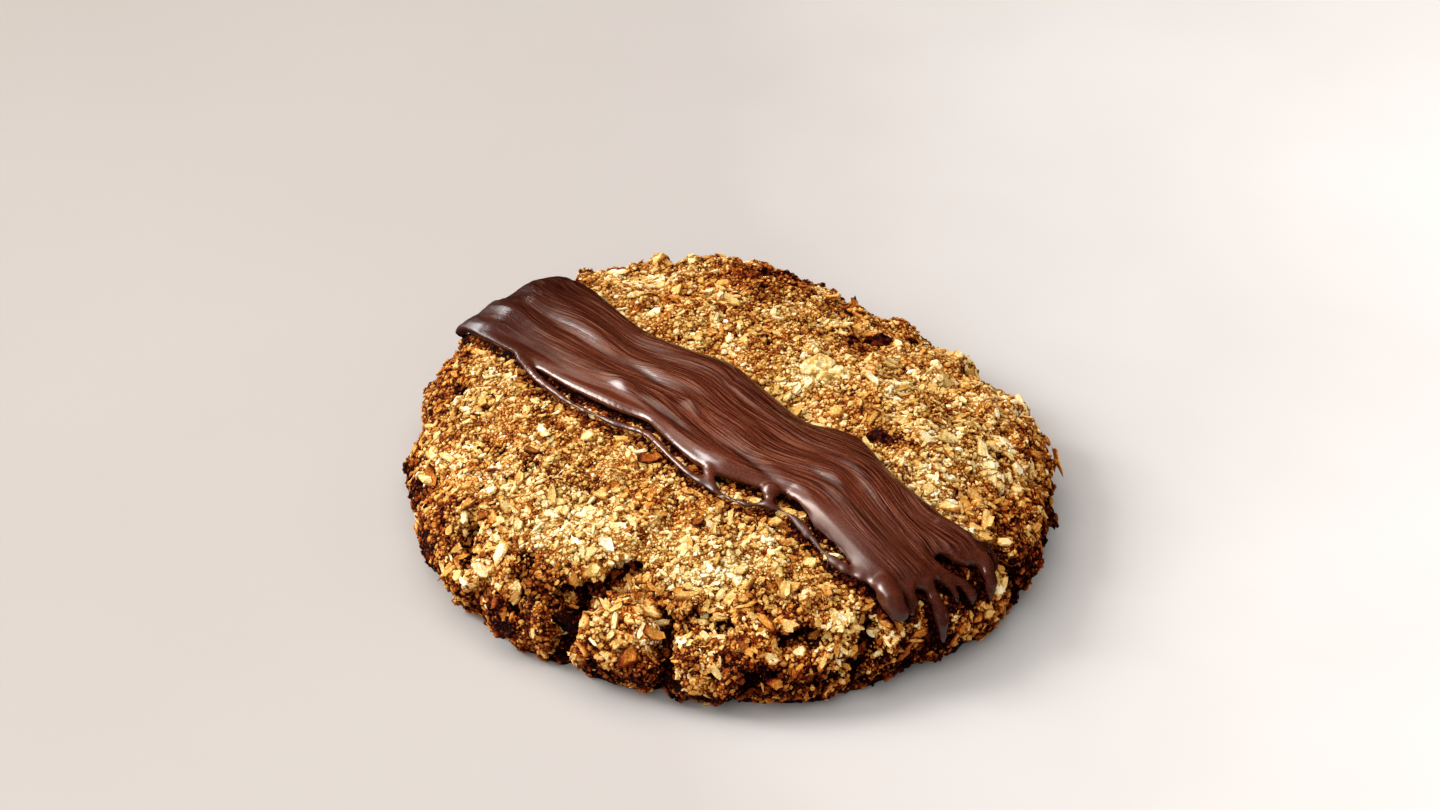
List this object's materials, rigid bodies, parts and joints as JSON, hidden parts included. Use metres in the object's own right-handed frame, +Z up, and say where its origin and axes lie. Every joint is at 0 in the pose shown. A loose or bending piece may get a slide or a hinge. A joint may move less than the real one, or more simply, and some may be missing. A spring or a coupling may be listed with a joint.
{
  "type": "chocolate almond cookie",
  "caption": "Round hand-shaped oat and almond cookie with a craggy crumb, a cracked rim, a flat base and a combed band of dark chocolate spread across its top.",
  "frame": {"origin": "middle of the bounding box, on the flat base that rests on the table", "axes": "+Z up through the crown; the chocolate band runs from the far left (-X, +Y) to the near right (+X, -Y)"},
  "size_m": [0.0772, 0.0808, 0.0166],
  "materials": {
    "baked_dough": "matte",
    "dark_chocolate": "satin"
  },
  "bodies": {
    "root": {"cookie": "baked_dough", "chocolate": "dark_chocolate"}
  },
  "joints": []
}
